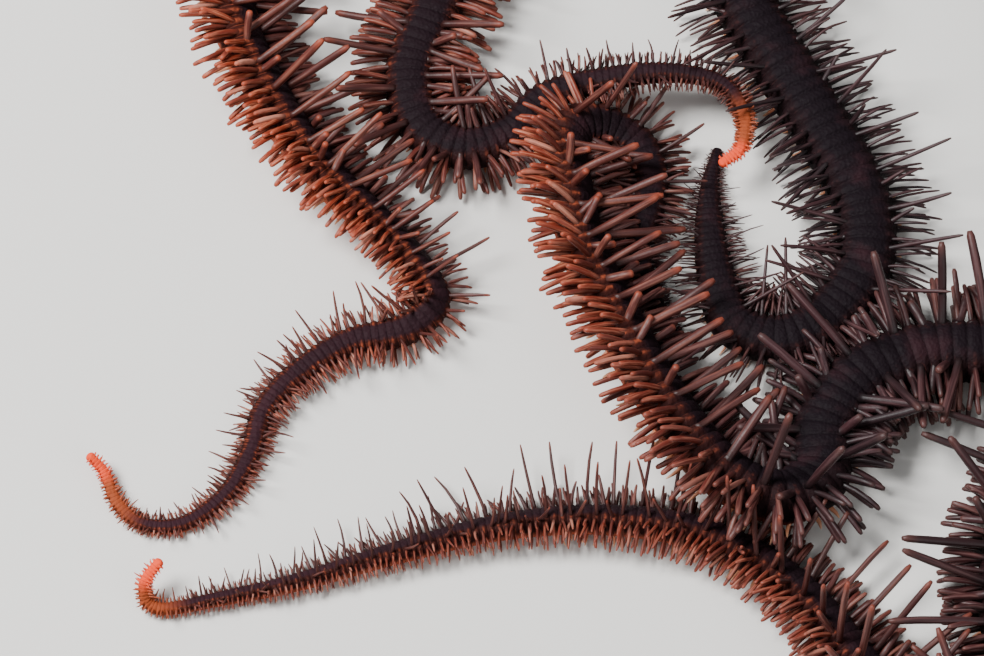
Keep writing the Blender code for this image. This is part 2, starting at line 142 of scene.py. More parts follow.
class Arm:
    """An arm's course, width and frame at any distance s from the disc, for arrays of s."""

    def __init__(self, name, strip, bearing, widths, warmth_and_shade, tip_glow, course):
        self.name = name
        self.strip = strip
        self.widths = np.array(widths) * MM
        self.warmth_and_shade_marks = warmth_and_shade
        self.tip_glow = tip_glow
        self.bearing = math.radians(bearing)
        self.outward = np.array((math.cos(self.bearing), math.sin(self.bearing), 0.0))
        reaches = (PORT_RADIUS + PIECE_GAP, PORT_RADIUS + STRAIGHT_START)
        points = [np.array((*(self.outward * reach)[:2], 0.0, 0.0)) for reach in reaches]
        points += [np.array((x * MM, y * MM, lift * MM, math.radians(roll)))
                   for x, y, lift, roll in course]
        self.samples = cubic_through(points)
        steps = np.linalg.norm(np.diff(self.samples[:, :3], axis=0), axis=1)
        self.reach = np.concatenate(([0.0], np.cumsum(steps)))
        self.length = float(self.reach[-1])

    def width(self, s):
        return np.interp(s, np.linspace(0, self.length, len(self.widths)), self.widths)

    # How warm the skin is here: its own colour, with painted shade where the arm lies in low light.
    def warmth_and_shade(self, s):
        marks = np.linspace(0, self.length, len(self.warmth_and_shade_marks))
        return np.interp(s, marks, self.warmth_and_shade_marks)

    def glow(self, s):
        """How orange the skin and spines are: only over the last stretch to the tip."""
        return self.tip_glow * (1 - np.clip((self.length - np.asarray(s)) / GLOW_REACH, 0, 1))

    def lean(self, s):
        """0 where the arm is wide and 1 where it is thin."""
        return np.clip((LEAN_BELOW - self.width(s)) / LEAN_SPAN, 0, 1)

    def middle(self, s):
        """The middle of the arm, and its roll. Below 0 it runs on straight under the disc."""
        s = np.asarray(s, dtype=float)
        x, y, lift, roll = (np.interp(s, self.reach, self.samples[:, k]) for k in range(4))
        wide = self.width(s) / 2
        rise = np.hypot(wide * np.sin(roll), wide * FLATNESS * np.cos(roll))
        points = np.stack((x, y, np.maximum(lift, 0) + rise * PRESSED), axis=-1)
        return points + np.minimum(s, 0)[:, None] * self.outward, roll

    def frames(self, s):
        """The middle, roll, and unit vectors along the arm, to its side and to its back."""
        step = 0.4 * MM
        s = np.asarray(s, dtype=float)
        ahead = self.middle(np.minimum(s + step, self.length))[0]
        along = unit(ahead - self.middle(s - step)[0])
        along[s < 2 * step] = self.outward
        middle, roll = self.middle(s)
        level = unit(np.cross(along, (0, 0, 1)))
        upright = np.cross(level, along)
        turn = roll[:, None]
        back = upright * np.cos(turn) + level * np.sin(turn)
        aside = level * np.cos(turn) - upright * np.sin(turn)
        return middle, roll, along, aside, back

    def segments(self):
        """Where each segment of the chain starts, shorter as the arm thins, and where it ends."""
        starts = [0.0]
        while starts[-1] < self.length - LAST_SEGMENT:
            width = float(self.width(starts[-1]))
            starts.append(starts[-1] + SEGMENT_SHARE * width + SEGMENT_MORE)
        starts[-1] = self.length
        return np.array(starts)


arms = [Arm(name, strip, *values) for strip, (name, values) in enumerate(ARMS.items())]

# The disc is drawn in over an arm to this share of the ports' radius, and swells beside the arm
# to its full radius within this angle, quickly at first as this power gives.
DISC_RADIUS = 13.2 * MM
DRAWN_IN = 0.985
SWELL_ANGLE = 0.4
SWELL_POWER = 0.7
# Its outline from the rim of its underside up to its middle: shares of its radius, heights in mm.
DISC_UNDERSIDE = 1.3 * MM
DISC_POINTS = 160
DISC_START = 0.93
DISC_RISE = ((1.0, 1.7), (1.02, 2.4), (1.03, 3.4), (1.02, 4.4), (0.985, 5.1), (0.93, 5.6),
             (0.84, 6.05), (0.72, 6.4), (0.58, 6.65), (0.42, 6.8), (0.25, 6.88), (0.1, 6.9))


def disc_reach(angle):
    """The disc's radius: drawn in over the arms and bulging between them."""
    nearest = min(abs((angle - arm.bearing + math.pi) % math.tau - math.pi) for arm in arms)
    swell = min(nearest / SWELL_ANGLE, 1.0) ** SWELL_POWER
    return PORT_RADIUS * DRAWN_IN + (DISC_RADIUS - PORT_RADIUS) * swell


bpy.ops.mesh.primitive_circle_add(
    vertices=DISC_POINTS, radius=1.0, fill_type="NGON", location=(0, 0, DISC_UNDERSIDE))
skin = bpy.context.object
skin.name = "skin"
bpy.ops.object.transform_apply(location=True)
for vertex in skin.data.vertices:
    angle = math.atan2(vertex.co.y, vertex.co.x)
    vertex.co.xy = vertex.co.xy * disc_reach(angle) * DISC_START
bpy.ops.object.mode_set(mode="EDIT")
bpy.ops.mesh.select_all(action="SELECT")
share_now = DISC_START
height_now = DISC_UNDERSIDE
for share, height in DISC_RISE:
    bpy.ops.mesh.extrude_region_move(
        TRANSFORM_OT_translate={"value": (0, 0, height * MM - height_now)})
    bpy.ops.transform.resize(
        value=(share / share_now, share / share_now, 1), center_override=(0, 0, 0))
    share_now = share
    height_now = height * MM
bpy.ops.mesh.select_all(action="SELECT")
bpy.ops.mesh.normals_make_consistent(inside=False)
bpy.ops.object.mode_set(mode="OBJECT")
skin.data.uv_layers.remove(skin.data.uv_layers[0])
on_disc = skin.data.attributes.new("on_disc", "FLOAT", "POINT")
on_disc.data.foreach_set("value", np.ones(len(skin.data.vertices), dtype=np.float32))

# The rings of a tube: their corners, where they lie in a segment, how far the tube runs on under
# the disc and in how many segments, and at the tip how far ahead in mm and how wide they are.
SKIN_SIDES = 22
SEGMENT_PHASES = np.array((0.0, 0.1, 0.36, 0.64, 0.9))
UNDER_DISC = 8.6 * MM
UNDER_DISC_SEGMENTS = 7
TIP_CLOSING = ((0.0, 1.0), (0.12, 0.9), (0.22, 0.65), (0.28, 0.3))
# What the skin shows of the plates in it: how far it stands out, or goes in at a pore, as a
# share of the arm's width, at which angle from the back, and over how many degrees to either
# side. The groove between segments has its depth and how much of a segment it takes up.
GROOVE = (0.022, 0.07)
SIDE_PLATE = (0.035, 78, 32)
BACK_PLATE = (0.025, 0, 42)
FOOT_PORE = (0.03, 140, 12)
KNOB = (0.04, 52, 15)
# The cross-section is squarer than an ellipse by this power. On a lean arm the colours follow
# each other faster from back to belly, by up to this share, so the dark back is narrower.
SQUARENESS = 0.9
BACK_NARROWS = 0.5


def bump(off_back, height, middle, spread):
    """A soft band along the arm: its height, its angle from the back and its spread."""
    return height * np.exp(-((off_back - middle) / spread) ** 2)


def arm_tube(arm):
    """One arm's rings of points, and what its finish has to know at each of them."""
    starts = arm.segments()
    starts = np.concatenate((np.linspace(-UNDER_DISC, 0, UNDER_DISC_SEGMENTS + 1)[:-1], starts))
    sizes = np.diff(starts)
    s = (starts[:-1, None] + sizes[:, None] * SEGMENT_PHASES).ravel()
    closing = len(TIP_CLOSING)
    phase = np.concatenate((np.tile(SEGMENT_PHASES, len(sizes)), np.full(closing, 0.5)))[:, None]
    s = np.concatenate((s, np.full(closing, arm.length)))
    shrink = np.ones(len(s))
    shrink[-closing:] = [share for _, share in TIP_CLOSING]
    middle, _, along, aside, back = arm.frames(s)
    middle[-closing:] += along[-closing:] * [[ahead * MM] for ahead, _ in TIP_CLOSING]
    angle = np.arange(SKIN_SIDES) / SKIN_SIDES * math.tau
    off_back = np.degrees(np.minimum(angle, math.tau - angle))
    depth, spread = GROOVE
    groove = depth * np.exp(-(np.minimum(phase, 1 - phase) / spread) ** 2)
    swell = np.sin(math.pi * phase) ** 2
    relief = (-groove + bump(off_back, *SIDE_PLATE) * (swell - 0.4)
              + bump(off_back, *BACK_PLATE) * (phase - 0.5)
              - bump(off_back, *FOOT_PORE) * swell + bump(off_back, *KNOB) * (swell - 0.3))
    width = (arm.width(s) * shrink)[:, None]
    sine, cosine = np.sin(angle), np.cos(angle)
    flank = np.sign(sine) * np.abs(sine) ** SQUARENESS * (0.5 + relief) * width
    crest = np.sign(cosine) * np.abs(cosine) ** SQUARENESS * (0.5 * FLATNESS + relief) * width
    points = middle[:, None] + aside[:, None] * flank[..., None] + back[:, None] * crest[..., None]
    points[..., 2] = np.maximum(points[..., 2], 0)
    lean = arm.lean(s)[:, None]
    marks = {"around": off_back / 180 * (1 + BACK_NARROWS * lean),
             "phase": phase + 0 * angle, "lean": lean + 0 * angle,
             "glow": arm.glow(s)[:, None] + 0 * angle,
             "warmth_and_shade": arm.warmth_and_shade(s)[:, None] + 0 * angle}
    return points.reshape(-1, 3), {key: values.ravel() for key, values in marks.items()}


def tube_faces(rings, sides, first):
    """Quads between rings of points, with a many-sided cap at each end."""
    row = first + np.arange(rings - 1)[:, None] * sides
    here = np.arange(sides)
    after = (here + 1) % sides
    quads = np.stack((row + here, row + after, row + sides + after, row + sides + here), axis=-1)
    last = first + (rings - 1) * sides
    caps = [list(range(first + sides - 1, first - 1, -1)), list(range(last, last + sides))]
    return quads.reshape(-1, 4).tolist() + caps


def mesh_object(name, points, faces, marks):
    """A smooth mesh from lists, with numbers or vectors kept on its points for its finish."""
    mesh = bpy.data.meshes.new(name)
    mesh.from_pydata(points.tolist(), [], faces)
    for key, values in marks.items():
        is_vector = values.ndim == 2
        kept = mesh.attributes.new(key, "FLOAT_VECTOR" if is_vector else "FLOAT", "POINT")
        field = "vector" if is_vector else "value"
        kept.data.foreach_set(field, values.astype(np.float32).ravel())
    mesh.shade_smooth()
    made = bpy.data.objects.new(name, mesh)
    bpy.context.scene.collection.objects.link(made)
    return made


tube_points = []
tube_marks = {}
faces = []
for arm in arms:
    points, marks = arm_tube(arm)
    faces += tube_faces(len(points) // SKIN_SIDES, SKIN_SIDES, sum(map(len, tube_points)))
    tube_points.append(points)
    for key, values in marks.items():
        tube_marks.setdefault(key, []).append(values)
tubes = mesh_object("tubes", np.concatenate(tube_points), faces,
                    {key: np.concatenate(values) for key, values in tube_marks.items()})
melt = skin.modifiers.new("Melt", "BOOLEAN")
melt.operation = "UNION"
melt.object = tubes
melt.solver = "MANIFOLD"
bpy.context.view_layer.objects.active = skin
bpy.ops.object.modifier_apply(modifier="Melt")
bpy.data.objects.remove(tubes)
skin.data.shade_smooth()


class Wire:
    """One output of a shader's node, for sums written as they are read."""

    def __init__(self, finish, socket):
        self.finish = finish
        self.socket = socket

    def math(self, operation, *values):
        return self.finish.node("ShaderNodeMath", {"operation": operation}, dict(enumerate(values)))

    def __add__(self, other):
        return self.math("ADD", self, other)

    def __sub__(self, other):
        return self.math("SUBTRACT", self, other)

    def __rsub__(self, other):
        return self.math("SUBTRACT", other, self)

    def __mul__(self, other):
        return self.math("MULTIPLY", self, other)

    __radd__ = __add__
    __rmul__ = __mul__


class Finish:
    """A material with one Principled shader, whose nodes are added one by one."""

    def __init__(self, name, constants):
        self.material = bpy.data.materials.new(name)
        self.material.use_nodes = True
        self.nodes = self.material.node_tree.nodes
        self.links = self.material.node_tree.links
        self.shader = self.nodes["Principled BSDF"]
        for socket, value in constants.items():
            self.shader.inputs[socket].default_value = value

    def node(self, kind, settings, sockets, out=0):
        """Add a node: its settings first, then the values or wires of its sockets."""
        made = self.nodes.new(kind)
        for setting, value in settings.items():
            setattr(made, setting, value)
        for place, value in sockets.items():
            if isinstance(value, Wire):
                self.links.new(value.socket, made.inputs[place])
            else:
                made.inputs[place].default_value = value
        return Wire(self, made.outputs[out])

    def mark(self, name):
        """A number kept on the points of the mesh."""
        return self.node("ShaderNodeAttribute", {"attribute_name": name}, {}, out=2)

    def cloud(self, size, detail=3.0):
        """Soft mottling of about this size in mm, mostly between 0.3 and 0.7."""
        place = self.node("ShaderNodeTexCoord", {}, {}, out=3)
        return self.node("ShaderNodeTexNoise", {},
                         {"Vector": place, "Scale": 1 / (size * MM), "Detail": detail})

    def grains(self, size):
        """Rounded cells of about this size in mm: 0 at their middles and 1 between them."""
        place = self.node("ShaderNodeTexCoord", {}, {}, out=3)
        return self.node("ShaderNodeTexVoronoi", {}, {"Vector": place, "Scale": 1 / (size * MM)})

    def between(self, low, high, value):
        """0 up to low, 1 from high, and smooth between them."""
        return self.node("ShaderNodeMapRange", {"interpolation_type": "SMOOTHSTEP"},
                         {0: value, 1: low, 2: high})

    def mix(self, share, first, second):
        """Blend two colours, each a wire or red, green and blue from 0 to 255 as on a screen."""
        first, second = (tone if isinstance(tone, Wire) else paint(*tone)
                         for tone in (first, second))
        return self.node("ShaderNodeMix", {"data_type": "RGBA"}, {0: share, 6: first, 7: second},
                         out=2)

    def raise_by(self, height, depth):
        """Bump of this depth in mm where the height goes from 0 to 1."""
        self.drive("Normal", self.node("ShaderNodeBump", {},
                                       {"Height": height, "Distance": depth * MM}))

    def drive(self, socket, wire):
        self.links.new(wire.socket, self.shader.inputs[socket])


def paint(red, green, blue):
    """A colour as on a screen, from 0 to 255, in the linear light that shaders take."""
    def linear(value):
        return value / 12.92 if value < 0.04045 else ((value + 0.055) / 1.055) ** 2.4
    return linear(red / 255), linear(green / 255), linear(blue / 255), 1.0


# Matt leather: a near-black back, mottled purple-brown and paler where the arm is lean, and
# dark red-brown flanks, darkened partly as painted shade of the gaps between the comb's spines.
# Their knobs and a patchy stripe above them are orange where the arm is warm. Where it is dull, the
# colours are partly painted shade of an arm that lies in low light.
leather = Finish("skin", {"Specular IOR Level": 0.08})
around = leather.mark("around")
phase = leather.mark("phase")
warmth_and_shade = leather.mark("warmth_and_shade")
disc_share = leather.mark("on_disc")
mottle = leather.cloud(3.5)
fine = leather.cloud(0.5)
back_colour = leather.mix(warmth_and_shade, (17, 10, 15), (30, 16, 21))
back_colour = leather.mix(leather.between(0.5, 0.7, mottle) * 0.45, back_colour, (52, 28, 33))
back_colour = leather.mix(leather.mark("lean") * warmth_and_shade * 0.7, back_colour, (58, 30, 37))
# The flanks' dark base colour: partly their own, partly painted shade in the gaps between the
# comb's spines.
flank_colour = leather.mix(warmth_and_shade, (24, 12, 15), (52, 20, 15))
knob = leather.between(0.2, 0.5, phase) * (1 - leather.between(0.6, 0.9, phase))
knob_colour = leather.mix(warmth_and_shade, (44, 24, 26), (146, 68, 42))
flank_colour = leather.mix(leather.between(0.45, 0.62, fine * 0.5 + knob * 0.25), flank_colour,
                           knob_colour)
edge = around + (mottle - 0.5) * 0.12 + (fine - 0.5) * 0.12
stripe = leather.between(0.2, 0.27, edge) * (1 - leather.between(0.32, 0.42, edge))
stripe = stripe * leather.between(0.3, 0.62, fine * 0.6 + knob * 0.3) * warmth_and_shade * warmth_and_shade
flank_colour = leather.mix(stripe * 0.5, flank_colour, (136, 64, 42))
# The belly is tan. A border between two colours wanders, as does the stripe.
belly_colour = leather.mix(warmth_and_shade, (96, 50, 40), (166, 78, 50))
colour = leather.mix(leather.between(0.13, 0.26, edge), back_colour, flank_colour)
colour = leather.mix(leather.between(0.6, 0.8, edge), colour, belly_colour)
# The stalk before a glowing tip is dull orange, the tip vivid. Seams are darker, and the disc's
# leather is mottled dark brown.
glow = leather.mark("glow")
colour = leather.mix(leather.between(0.0, 0.45, glow), colour, (138, 64, 36))
colour = leather.mix(leather.between(0.6, 0.8, glow), colour, (222, 72, 40))
seam = 1 - leather.between(0.02, 0.14, phase) * (1 - leather.between(0.86, 0.98, phase))
colour = leather.mix(seam * 0.4 * (1 - disc_share), colour, (10, 6, 8))
disc_colour = leather.mix(leather.between(0.4, 0.7, mottle), (18, 10, 14), (44, 22, 21))
colour = leather.mix(disc_share, colour, disc_colour)
leather.drive("Base Color", colour)
leather.drive("Roughness", 0.55 + fine * 0.3)
leather.raise_by(fine * 0.5 + leather.grains(0.3) * 0.5, 0.12)
skin.data.materials.clear()
skin.data.materials.append(leather.material)
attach(skin, "root")
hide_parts("disc", *[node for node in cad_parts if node.startswith("arm_")])

# The spines: blunt, slightly bent limestone pegs, each on a ball joint of a side plate. Every
# segment has a comb of four small ones on each flank. Above it stand a long one on every third
# segment and shorter ones on about half of the others. Each arm's spines are one joined mesh.

# In mm: the width of an arm, and there the length and thickness of a spine of the upper rows and
# of the comb. Two arms stand their upper spines taller, by these shares where the arm is thin
# and where it is wide. Arm 1 has fewer spines in the comb of its thin end, and those of arm 3
# are slender and more pointed than the others'.
SPINE_SIZES = np.array((
    (0.8, 0.4, 0.13, 0.3, 0.11), (1.3, 1.2, 0.18, 0.7, 0.15), (2.0, 2.4, 0.23, 1.3, 0.19),
    (3.2, 4.4, 0.32, 2.5, 0.29), (3.8, 5.8, 0.56, 3.2, 0.42), (4.4, 6.7, 0.66, 3.8, 0.48),
    (5.3, 7.4, 0.72, 4.2, 0.52)))
TALL = {"arm_5": (1.55, 1.3), "arm_1": (1.3, 1.0)}
THIN_COMB = {"arm_1": 0.75}
SLENDER = {"arm_3": 0.55}
# The rows of a flank, from the back down. The root and the spine are turned away from the arm's
# back by these angles, give or take stray degrees, and where the arm lies on its side the spine
# has one angle on the flank turned up (over) and one below (under). Sizes is the row's first
# column in SPINE_SIZES, thin and wide are the shares of that length on a thin arm and a wide
# one, sides are the peg's, steps are the segments of each period that have the spine, and kept
# is the share of those places that aren't bare.
SPINE_PERIOD = 3
SPINE_ROWS = (
    dict(root=44, flat=66, over=-14, under=22, stray=11, sizes=1, thin=1.0, wide=1.0, sides=8,
         steps=(0,), kept=1.0),
    dict(root=47, flat=72, over=14, under=30, stray=20, sizes=1, thin=0.7, wide=0.4, sides=8,
         steps=(1, 2), kept=0.5),
    dict(root=54, flat=80, over=104, under=36, stray=8, sizes=3, thin=0.9, wide=0.94, sides=6,
         steps=(0, 1, 2), kept=1.0),
    dict(root=68, flat=90, over=119, under=42, stray=8, sizes=3, thin=1.0, wide=1.02, sides=6,
         steps=(0, 1, 2), kept=1.0),
    dict(root=83, flat=99, over=133, under=48, stray=8, sizes=3, thin=0.95, wide=0.98, sides=6,
         steps=(0, 1, 2), kept=1.0),
    dict(root=98, flat=108, over=147, under=54, stray=8, sizes=3, thin=0.8, wide=0.86, sides=6,
         steps=(0, 1, 2), kept=1.0),
)
FULL_ROLL = math.radians(58)
# Where in its segment a spine stands, and how far off that at most, how many degrees its root
# may be off its row, how far from the arm's middle the root sits as a share of its width, and
# how close to the disc the first may be. A spine leans a little to the arm's tip, and strays
# along the arm by its row's stray over the last number.
SPINE_PHASE = 0.6
PHASE_STRAY = 0.12
ROOT_STRAY = 3
ROOT_REACH = 0.45
FIRST_SPINE = 0.4 * MM
TIPWARD = 0.08
STRAY_ALONG = 60
# How far out each ring of a spine is, and how thick a blunt spine and a pointed one are there:
# pointed on an arm of the thin width, and blunt on one of the wide width.
SPINE_RINGS = ((0.0, 1.3, 1.45), (0.07, 0.95, 1.15), (0.35, 1.0, 0.98), (0.7, 1.03, 0.74),
               (0.94, 0.92, 0.44), (1.0, 0.55, 0.2))
THIN_ARM = 2.0 * MM
WIDE_ARM = 3.9 * MM
# A spine is at least one of these shares of its row's length, and at most the last of them. Its
# radius lies between these shares of its row's thickness.
SHORTEST_COMB = 0.78
SHORTEST_THIN = 0.6
SHORTEST_WIDE = 0.82
LONGEST = 1.08
RADIUS_SPREAD = (0.45, 0.55)
# How far a spine bows out, as a share of its length, on a thin arm and on a wide one, how much
# one differs from another in that, and how far a comb's spines hook upwards.
SPINE_BEND = 0.05
BLUNT_BEND = 0.015
BEND_SPREAD = (0.2, 1.6)
COMB_HOOK = 0.07
# Painted shade on the spines of the flank turned under: they are duller by these shares. Column in
# SPINE_SIZES, share.
FAR_FLANK_SHADE = {1: 0.45, 3: 0.8}
# A spine is tried for room at these shares of its length, against beads along every arm apart
# from the stretch of its own arm that it stands on. A bead's radius is a share of the arm's
# width. A spine that comes too near is cut back from the smallest share where it does, and left
# out where less than the least share is left.
BEAD_STEP = 0.6 * MM
BEAD_RADIUS = 0.47
OWN_STRETCH = 7 * MM
SPINE_CLEARANCE = 0.12 * MM
TRIED_SHARES = (1.0, 0.85, 0.7, 0.55, 0.4)
CUT_BACK = 0.15
LEAST_SHARE = 0.3
BATCH = 400
# A peg's end stays this far off the ground, and none of its skin is lower than the second. It is
# turned up for that by no more than the steepest slope.
END_OFF_GROUND = 0.05 * MM
LOWEST = 0.02 * MM
STEEPEST = 0.6
# Each arm has one strip of the unwrap and the disc one, and each peg a small patch in it.
STRIPS = 6
PATCH = 0.003
# The streaks of a peg are drawn along it and differ from those of the next.
GRAIN_LENGTH = 0.9
GRAIN_APART = 60
# A direction that no peg has, from which each peg's sides are set.
ASKEW = (0.31, 0.17, 0.93)
SEED = 6369
draw = np.random.default_rng(SEED)


def wrapped(arm, s, side, off_back):
    """Where a place on the arm's skin lies in the arm's strip of the unwrap, inside a margin."""
    turned = 0.5 + side * off_back / 360
    return np.stack((0.02 + 0.96 * s / arm.length + 0 * turned,
                     (arm.strip + 0.1 + 0.8 * turned) / STRIPS + 0 * s), axis=-1)


def clear_share(arm, s, roots, ways, lengths):
    """How much of each spine is clear of every arm's body, from 0 to 1."""
    share = np.ones(len(s))
    for other in arms:
        beads = np.arange(0, other.length, BEAD_STEP)
        centres = other.middle(beads)[0]
        bodies = other.width(beads) * BEAD_RADIUS
        for tried in TRIED_SHARES:
            reach = roots + ways * (lengths * tried)[:, None]
            near = np.zeros(len(s), dtype=bool)
            for first in range(0, len(s), BATCH):
                some = slice(first, first + BATCH)
                gaps = np.linalg.norm(reach[some, None] - centres[None], axis=2) - bodies
                if other is arm:
                    gaps[np.abs(s[some, None] - beads) < OWN_STRETCH] = np.inf
                near[some] = gaps.min(axis=1) < SPINE_CLEARANCE
            share[near] = np.minimum(share[near], tried - CUT_BACK)
    return share


def pegs(roots, ways, lengths, radii, sides, bends, rings):
    """Round pegs as an array of points: by peg, ring and side, and then x, y and z."""
    first = unit(np.cross(ways, ASKEW))
    second = np.cross(ways, first)
    angle = np.arange(sides) / sides * math.tau
    rim = first[:, None] * np.cos(angle)[:, None] + second[:, None] * np.sin(angle)[:, None]
    made = []
    for out, wide in rings:
        middle = roots + ways * (lengths * out)[:, None] + bends * math.sin(out * math.pi)
        made.append(middle[:, None] + rim * (radii * wide)[:, None, None])
    return np.stack(made, axis=1)


def peg_columns(points, shades, places, outs):
    """A set of pegs as columns of points, faces and marks, and their places on the unwrap."""
    kept, rings, sides = points.shape[:3]
    out = np.array(outs)[None, :, None]
    turn = np.arange(sides) / sides
    whole = np.zeros((kept, rings, sides))
    grain = np.stack((whole + np.cos(turn * math.tau), whole + np.sin(turn * math.tau),
                      whole + out * GRAIN_LENGTH + shades[:, None, None] * GRAIN_APART), axis=-1)
    patch = np.stack((whole + turn, whole + out), axis=-1) * PATCH - PATCH / 2
    corners = np.arange(rings - 1)[:, None] * sides
    here = np.arange(sides)
    after = (here + 1) % sides
    quads = np.stack((corners + here, corners + after, corners + sides + after,
                      corners + sides + here), axis=-1).reshape(-1, 4)
    firsts = np.arange(kept) * rings * sides
    cap = np.arange((rings - 1) * sides, rings * sides)
    faces = (quads[None] + firsts[:, None, None]).reshape(-1, 4).tolist()
    faces += (cap[None] + firsts[:, None]).tolist()
    faces += (here[::-1][None] + firsts[:, None]).tolist()
    return {"points": points.reshape(-1, 3), "faces": faces, "out": (whole + out).ravel(),
            "shade": (whole + shades[:, None, None]).ravel(), "grain": grain.reshape(-1, 3),
            "unwrap": (places[:, None, None] + patch).reshape(-1, 2)}


def placed(arm, row, side):
    """A row of pegs down one flank: where along the arm, how wide the arm is there, how far the
    flank is turned under, the roots' angles off the back, the roots and the directions."""
    starts = arm.segments()
    sizes = np.diff(starts)
    offset = 0 if side > 0 else 1
    chosen = np.isin((np.arange(len(sizes)) + offset) % SPINE_PERIOD, row["steps"])
    starts, sizes = starts[:-1][chosen], sizes[chosen]
    count = len(sizes)
    s = starts + sizes * (SPINE_PHASE + draw.uniform(-PHASE_STRAY, PHASE_STRAY, count))
    s = np.clip(s, FIRST_SPINE, arm.length)
    middle, roll, along, aside, back = arm.frames(s)
    width = arm.width(s)
    root_turn = np.radians(row["root"] + draw.uniform(-ROOT_STRAY, ROOT_STRAY, count))
    rolled = np.minimum(np.abs(np.sin(roll)) / math.sin(FULL_ROLL), 1.0)
    turned_to = np.where(side * roll < 0, row["over"], row["under"])
    tilt = row["flat"] + (turned_to - row["flat"]) * rolled
    tilt = np.radians(tilt + draw.normal(0, row["stray"], count))
    roots = (middle + aside * (side * np.sin(root_turn) * width * ROOT_REACH)[:, None]
             + back * (np.cos(root_turn) * width * ROOT_REACH * FLATNESS)[:, None])
    ways = unit(aside * (side * np.sin(tilt))[:, None] + back * np.cos(tilt)[:, None]
                + along * draw.normal(TIPWARD, row["stray"] / STRAY_ALONG, count)[:, None])
    far = (side * roll > 0) * rolled
    return s, width, far, np.degrees(root_turn), roots, ways


def eased(blunt, thin, wide):
    """A value between that of a thin arm, where blunt is 0, and that of a wide one."""
    return thin + (wide - thin) * blunt


def lifted(roots, ways, lengths, radii):
    """Directions of pegs, turned up where their ends would go into the ground."""
    slope = np.clip((radii + END_OFF_GROUND - roots[:, 2]) / lengths, -1, STEEPEST)
    ways[:, 2] = np.maximum(ways[:, 2], slope)
    return unit(ways)


def spine_row(arm, row, side):
    """One row of spines down one flank of an arm, as columns for the arm's joined mesh."""
    s, width, far, off_back, roots, ways = placed(arm, row, side)
    # How warm the spines are, less the painted shade of the flank turned under.
    warmth_and_flank_shade = arm.warmth_and_shade(s) * (1 - FAR_FLANK_SHADE[row["sizes"]] * far)
    count = len(s)
    is_comb = row["sizes"] > 1
    blunt = np.clip((width - THIN_ARM) / (WIDE_ARM - THIN_ARM), 0, 1)
    table = SPINE_SIZES * MM
    full = np.interp(width, table[:, 0], table[:, row["sizes"]])
    full = full * eased(blunt, row["thin"], row["wide"])
    tall_thin, tall_wide = (1.0, 1.0) if is_comb else TALL.get(arm.name, (1.0, 1.0))
    tall = eased(blunt, tall_thin, tall_wide)
    kept_thin = THIN_COMB.get(arm.name, 1.0) if is_comb else row["kept"]
    grown = draw.uniform(0, 1, count) < eased(blunt, kept_thin, row["kept"])
    shortest = SHORTEST_COMB if is_comb else eased(blunt, SHORTEST_THIN, SHORTEST_WIDE)
    lengths = full * tall * (shortest + (LONGEST - shortest) * draw.uniform(0, 1, count))
    thickness = np.interp(width, table[:, 0], table[:, row["sizes"] + 1])
    slender = SLENDER.get(arm.name, 1.0)
    radii = thickness * slender * draw.uniform(*RADIUS_SPREAD, count)
    ways = lifted(roots, ways, lengths, radii)
    share = clear_share(arm, s, roots, ways, lengths)
    lengths = lengths * share
    bend = lengths * eased(blunt, SPINE_BEND, BLUNT_BEND) * draw.uniform(*BEND_SPREAD, count)
    bends = np.cross(ways, unit(draw.normal(size=(count, 3)))) * bend[:, None]
    bends[:, 2] += lengths * COMB_HOOK * is_comb
    keep = (share > LEAST_SHARE) & grown
    s, roots, ways, lengths, radii = s[keep], roots[keep], ways[keep], lengths[keep], radii[keep]
    capped = pegs(roots, ways, lengths, radii, row["sides"], bends[keep],
                  [(out, wide) for out, wide, _ in SPINE_RINGS])
    sharp = pegs(roots, ways, lengths, radii, row["sides"], bends[keep],
                 [(out, wide) for out, _, wide in SPINE_RINGS])
    points = sharp + (capped - sharp) * (blunt[keep] * slender)[:, None, None, None]
    points[..., 2] = np.maximum(points[..., 2], LOWEST)
    columns = peg_columns(points, draw.uniform(0, 1, len(s)),
                          wrapped(arm, s, side, off_back[keep]),
                          [out for out, _, _ in SPINE_RINGS])
    each = points.shape[1] * points.shape[2]
    columns["comb"] = np.full(len(s) * each, float(is_comb))
    columns["glow"] = np.repeat(arm.glow(s), each)
    columns["warmth_and_shade"] = np.repeat(warmth_and_flank_shade[keep], each)
    return columns


def joined(name, sets):
    """One mesh of many sets of pegs, unwrapped for baking."""
    faces = []
    count = 0
    for columns in sets:
        faces += [[count + corner for corner in face] for face in columns["faces"]]
        count += len(columns["points"])
    whole = {key: np.concatenate([columns[key] for columns in sets])
             for key in sets[0] if key != "faces"}
    places = whole.pop("unwrap")
    made = mesh_object(name, whole.pop("points"), faces, whole)
    corners = np.empty(len(made.data.loops), dtype=np.int32)
    made.data.loops.foreach_get("vertex_index", corners)
    chart = made.data.uv_layers.new(name="OFBake")
    chart.data.foreach_set("uv", places[corners].astype(np.float32).ravel())
    return made


# Smooth limestone, brick-red in the combs of a warm stretch and near-black on a dull one, with
# pale streaks along each peg. Here and there a comb's spine is pink, and some are dark. A dull
# stretch is partly painted shade: of an arm in low light, and of the flank turned under.
limestone = Finish("spine", {"Specular IOR Level": 0.32})
out = limestone.mark("out")
shade = limestone.mark("shade")
warmth_and_shade = limestone.mark("warmth_and_shade")
comb = limestone.mark("comb")
streak = limestone.node("ShaderNodeTexNoise", {},
                        {"Vector": limestone.node("ShaderNodeAttribute",
                                                  {"attribute_name": "grain"}, {}, out=1),
                         "Scale": 1.9, "Detail": 2.0})
fine = limestone.cloud(0.25)
fresh = limestone.mix(comb, (86, 38, 30), (126, 44, 22))
